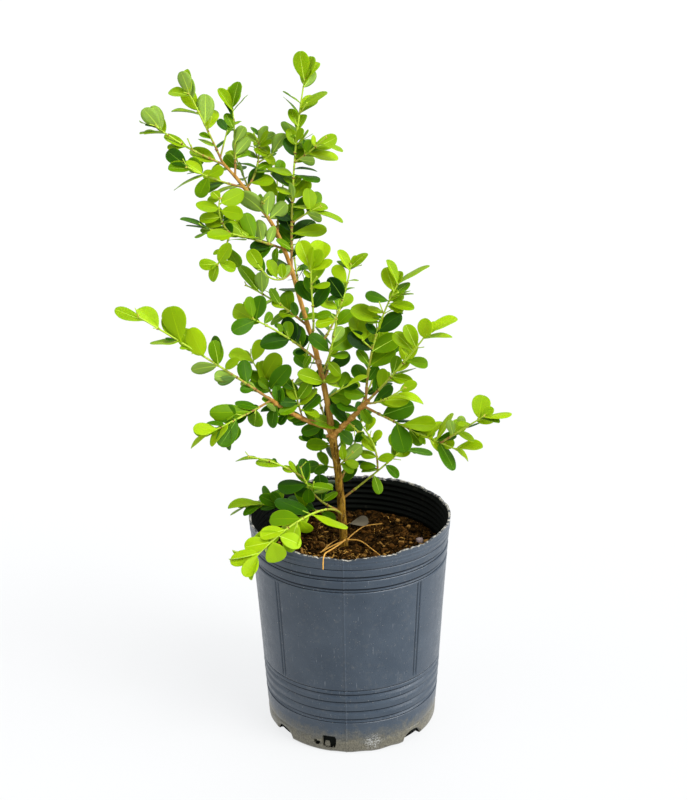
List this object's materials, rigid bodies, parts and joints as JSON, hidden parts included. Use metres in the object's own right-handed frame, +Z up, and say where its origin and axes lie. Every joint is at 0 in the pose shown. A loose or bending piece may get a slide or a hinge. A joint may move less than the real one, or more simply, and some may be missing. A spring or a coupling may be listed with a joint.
{
  "type": "potted boxwood shrub",
  "caption": "Young open boxwood shrub with small paired leaves on thin leaning twigs, growing in a round grey nursery pot filled with potting soil.",
  "frame": {"origin": "centre of the pot's flat underside, on the pot's axis", "axes": "+Z up along the pot's axis, -Y towards the side that the plant's leaves turn to, +X to the right seen from that side; the shrub leans towards -X"},
  "size_m": [0.2831, 0.1806, 0.5332],
  "materials": {
    "pot_plastic": "blow-moulded blue-grey plastic, scuffed, dusty, muddy at its foot",
    "potting_soil": "dark crumbly peat and bark, dry on top",
    "bark": "rough grey-brown at the foot, smoother orange-brown above",
    "young_bark": "smooth orange-brown with darker nodes",
    "foliage": "leathery mid-green leaves with a soft gloss, paler below",
    "young_foliage": "yellow-green young leaves with a soft gloss",
    "shaded_foliage": "older dark green leaves with a soft gloss"
  },
  "bodies": {
    "root": {"back_bough": "shaded_foliage", "back_foot": "shaded_foliage", "back_fork": "shaded_foliage", "back_high": "shaded_foliage", "back_low": "shaded_foliage", "back_mid": "shaded_foliage", "back_right": "shaded_foliage", "back_shoulder": "shaded_foliage", "back_top": "shaded_foliage", "bough_left": "young_bark", "bough_right": "young_bark", "bough_under": "foliage", "foot_front": "young_foliage", "foot_left": "shaded_foliage", "foot_right": "foliage", "foot_side": "shaded_foliage", "fork_pair": "young_foliage", "fork_spur": "foliage", "front_mid": "young_foliage", "front_right": "young_foliage", "high_drop": "shaded_foliage", "high_left": "young_foliage", "high_spur": "foliage", "leader": "young_foliage", "leader_left": "young_foliage", "leader_low": "young_foliage", "left_low": "foliage", "left_spur": "foliage", "left_up": "foliage", "long_left": "foliage", "low_back": "shaded_foliage", "low_back_left": "shaded_foliage", "low_right": "foliage", "mid_left": "shaded_foliage", "pot": "pot_plastic", "right_low": "foliage", "right_near": "foliage", "right_out": "young_foliage", "right_up": "foliage", "shoulder": "young_foliage", "soil": "potting_soil", "spire": "foliage", "trunk": "bark", "tuft_right": "young_foliage", "tuft_spire": "young_foliage"}
  },
  "joints": []
}
